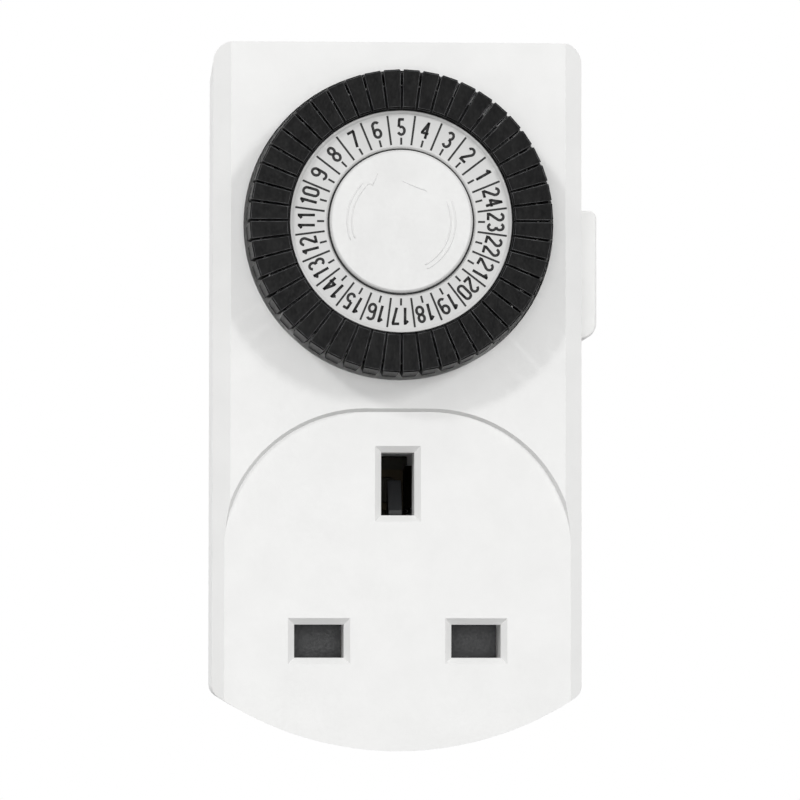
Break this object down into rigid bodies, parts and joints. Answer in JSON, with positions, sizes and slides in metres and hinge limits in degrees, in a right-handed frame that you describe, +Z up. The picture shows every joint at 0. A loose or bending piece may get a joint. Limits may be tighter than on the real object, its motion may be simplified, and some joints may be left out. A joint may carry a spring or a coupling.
{
  "type": "plug-in timer switch",
  "caption": "Upright plug-in timer with a round dial of push-in segments above a three-pin outlet, a side slider and a three-pin plug behind.",
  "frame": {"origin": "on the rear face, midway between the two power pins", "axes": "+Z up the face, +Y into the wall along the plug's pins, the dial faces -Y, +X to the right seen from the front"},
  "size_m": [0.0555, 0.0692, 0.1003],
  "materials": {
    "case_plastic": "moulded satin ABS",
    "cap_plastic": "moulded satin ABS",
    "ring_plastic": "printed satin plastic",
    "tripper_plastic": "moulded black acetal",
    "dark_plastic": "moulded dark grey",
    "sleeve_plastic": "moulded black",
    "lead_plastic": "extruded PVC",
    "natural_acetal": "moulded natural acetal",
    "brass": "stamped",
    "nickel_plate": "nickel plated",
    "steel": "bright"
  },
  "bodies": {
    "case": {"front_cover": "case_plastic", "rear_cover": "case_plastic", "case_screws": "steel", "centre_cap": "cap_plastic", "idler_arbor": "steel", "gear_plate": "natural_acetal", "plate_screws": "steel", "motor_case": "nickel_plate", "motor_screws": "steel", "motor_leads": "lead_plastic", "arm_pivot": "steel", "arm_spring": "steel", "fixed_contact": "brass", "line_strip": "brass", "load_strip": "brass", "line_contact": "brass", "neutral_contact": "brass", "earth_contact": "brass", "shutter_spring": "steel", "line_pin": "nickel_plate", "neutral_pin": "nickel_plate", "earth_pin": "nickel_plate", "pin_sleeves": "sleeve_plastic"},
    "dial": {"dial_carrier": "dark_plastic", "number_ring": "ring_plastic"},
    "tripper_01": {"tripper_01": "tripper_plastic"},
    "tripper_02": {"tripper_02": "tripper_plastic"},
    "tripper_03": {"tripper_03": "tripper_plastic"},
    "tripper_04": {"tripper_04": "tripper_plastic"},
    "tripper_05": {"tripper_05": "tripper_plastic"},
    "tripper_06": {"tripper_06": "tripper_plastic"},
    "tripper_07": {"tripper_07": "tripper_plastic"},
    "tripper_08": {"tripper_08": "tripper_plastic"},
    "tripper_09": {"tripper_09": "tripper_plastic"},
    "tripper_10": {"tripper_10": "tripper_plastic"},
    "tripper_11": {"tripper_11": "tripper_plastic"},
    "tripper_12": {"tripper_12": "tripper_plastic"},
    "tripper_13": {"tripper_13": "tripper_plastic"},
    "tripper_14": {"tripper_14": "tripper_plastic"},
    "tripper_15": {"tripper_15": "tripper_plastic"},
    "tripper_16": {"tripper_16": "tripper_plastic"},
    "tripper_17": {"tripper_17": "tripper_plastic"},
    "tripper_18": {"tripper_18": "tripper_plastic"},
    "tripper_19": {"tripper_19": "tripper_plastic"},
    "tripper_20": {"tripper_20": "tripper_plastic"},
    "tripper_21": {"tripper_21": "tripper_plastic"},
    "tripper_22": {"tripper_22": "tripper_plastic"},
    "tripper_23": {"tripper_23": "tripper_plastic"},
    "tripper_24": {"tripper_24": "tripper_plastic"},
    "idler": {"idler_gear": "natural_acetal"},
    "motor_output": {"motor_shaft": "steel", "motor_pinion": "brass"},
    "plunger": {"switch_plunger": "natural_acetal"},
    "contact_arm": {"contact_arm": "brass"},
    "shutter": {"shutter": "dark_plastic"},
    "slider": {"override_slider": "case_plastic"}
  },
  "joints": [
    {"name": "dial_spin", "type": "hinge", "parent": "case", "child": "dial", "pos_m": [0, -0.04, 0.0588], "axis": [0, 1, 0], "continuous": true},
    {"name": "press_01", "type": "slide", "parent": "dial", "child": "tripper_01", "axis": [0, 1, 0], "range_m": [0, 0.003]},
    {"name": "press_02", "type": "slide", "parent": "dial", "child": "tripper_02", "axis": [0, 1, 0], "range_m": [0, 0.003]},
    {"name": "press_03", "type": "slide", "parent": "dial", "child": "tripper_03", "axis": [0, 1, 0], "range_m": [0, 0.003]},
    {"name": "press_04", "type": "slide", "parent": "dial", "child": "tripper_04", "axis": [0, 1, 0], "range_m": [0, 0.003]},
    {"name": "press_05", "type": "slide", "parent": "dial", "child": "tripper_05", "axis": [0, 1, 0], "range_m": [0, 0.003]},
    {"name": "press_06", "type": "slide", "parent": "dial", "child": "tripper_06", "axis": [0, 1, 0], "range_m": [0, 0.003]},
    {"name": "press_07", "type": "slide", "parent": "dial", "child": "tripper_07", "axis": [0, 1, 0], "range_m": [0, 0.003]},
    {"name": "press_08", "type": "slide", "parent": "dial", "child": "tripper_08", "axis": [0, 1, 0], "range_m": [0, 0.003]},
    {"name": "press_09", "type": "slide", "parent": "dial", "child": "tripper_09", "axis": [0, 1, 0], "range_m": [0, 0.003]},
    {"name": "press_10", "type": "slide", "parent": "dial", "child": "tripper_10", "axis": [0, 1, 0], "range_m": [0, 0.003]},
    {"name": "press_11", "type": "slide", "parent": "dial", "child": "tripper_11", "axis": [0, 1, 0], "range_m": [0, 0.003]},
    {"name": "press_12", "type": "slide", "parent": "dial", "child": "tripper_12", "axis": [0, 1, 0], "range_m": [0, 0.003]},
    {"name": "press_13", "type": "slide", "parent": "dial", "child": "tripper_13", "axis": [0, 1, 0], "range_m": [0, 0.003]},
    {"name": "press_14", "type": "slide", "parent": "dial", "child": "tripper_14", "axis": [0, 1, 0], "range_m": [0, 0.003]},
    {"name": "press_15", "type": "slide", "parent": "dial", "child": "tripper_15", "axis": [0, 1, 0], "range_m": [0, 0.003]},
    {"name": "press_16", "type": "slide", "parent": "dial", "child": "tripper_16", "axis": [0, 1, 0], "range_m": [0, 0.003]},
    {"name": "press_17", "type": "slide", "parent": "dial", "child": "tripper_17", "axis": [0, 1, 0], "range_m": [0, 0.003]},
    {"name": "press_18", "type": "slide", "parent": "dial", "child": "tripper_18", "axis": [0, 1, 0], "range_m": [0, 0.003]},
    {"name": "press_19", "type": "slide", "parent": "dial", "child": "tripper_19", "axis": [0, 1, 0], "range_m": [0, 0.003]},
    {"name": "press_20", "type": "slide", "parent": "dial", "child": "tripper_20", "axis": [0, 1, 0], "range_m": [0, 0.003]},
    {"name": "press_21", "type": "slide", "parent": "dial", "child": "tripper_21", "axis": [0, 1, 0], "range_m": [0, 0.003]},
    {"name": "press_22", "type": "slide", "parent": "dial", "child": "tripper_22", "axis": [0, 1, 0], "range_m": [0, 0.003]},
    {"name": "press_23", "type": "slide", "parent": "dial", "child": "tripper_23", "axis": [0, 1, 0], "range_m": [0, 0.003]},
    {"name": "press_24", "type": "slide", "parent": "dial", "child": "tripper_24", "axis": [0, 1, 0], "range_m": [0, 0.003]},
    {"name": "idler_spin", "type": "hinge", "parent": "case", "child": "idler", "pos_m": [-0.00919, -0.031, 0.06799], "axis": [0, 1, 0], "continuous": true},
    {"name": "motor_spin", "type": "hinge", "parent": "case", "child": "motor_output", "pos_m": [-0.00622, -0.029, 0.05688], "axis": [0, 1, 0], "continuous": true},
    {"name": "plunger_slide", "type": "slide", "parent": "case", "child": "plunger", "axis": [0, 1, 0], "range_m": [0, 0.0014], "stiffness_N_per_m": 200, "springref_m": -0.001, "deforming": ["arm_spring"]},
    {"name": "contact_swing", "type": "hinge", "parent": "case", "child": "contact_arm", "pos_m": [0.0183, -0.02415, 0.0408], "axis": [-1, 0, 0], "range_deg": [0, 4.6]},
    {"name": "shutter_slide", "type": "slide", "parent": "case", "child": "shutter", "axis": [0, 0, -1], "range_m": [0, 0.0053], "stiffness_N_per_m": 60, "springref_m": -0.003, "deforming": ["shutter_spring"]},
    {"name": "override_slide", "type": "slide", "parent": "case", "child": "slider", "axis": [0, 0, -1], "range_m": [0, 0.005]}
  ],
  "couplings": [
    {"joint": "idler_spin", "follows": "dial_spin", "ratio": -3.3333},
    {"joint": "motor_spin", "follows": "dial_spin", "ratio": 12},
    {"joint": "contact_swing", "follows": "plunger_slide", "rad_per_m": 55.556}
  ]
}
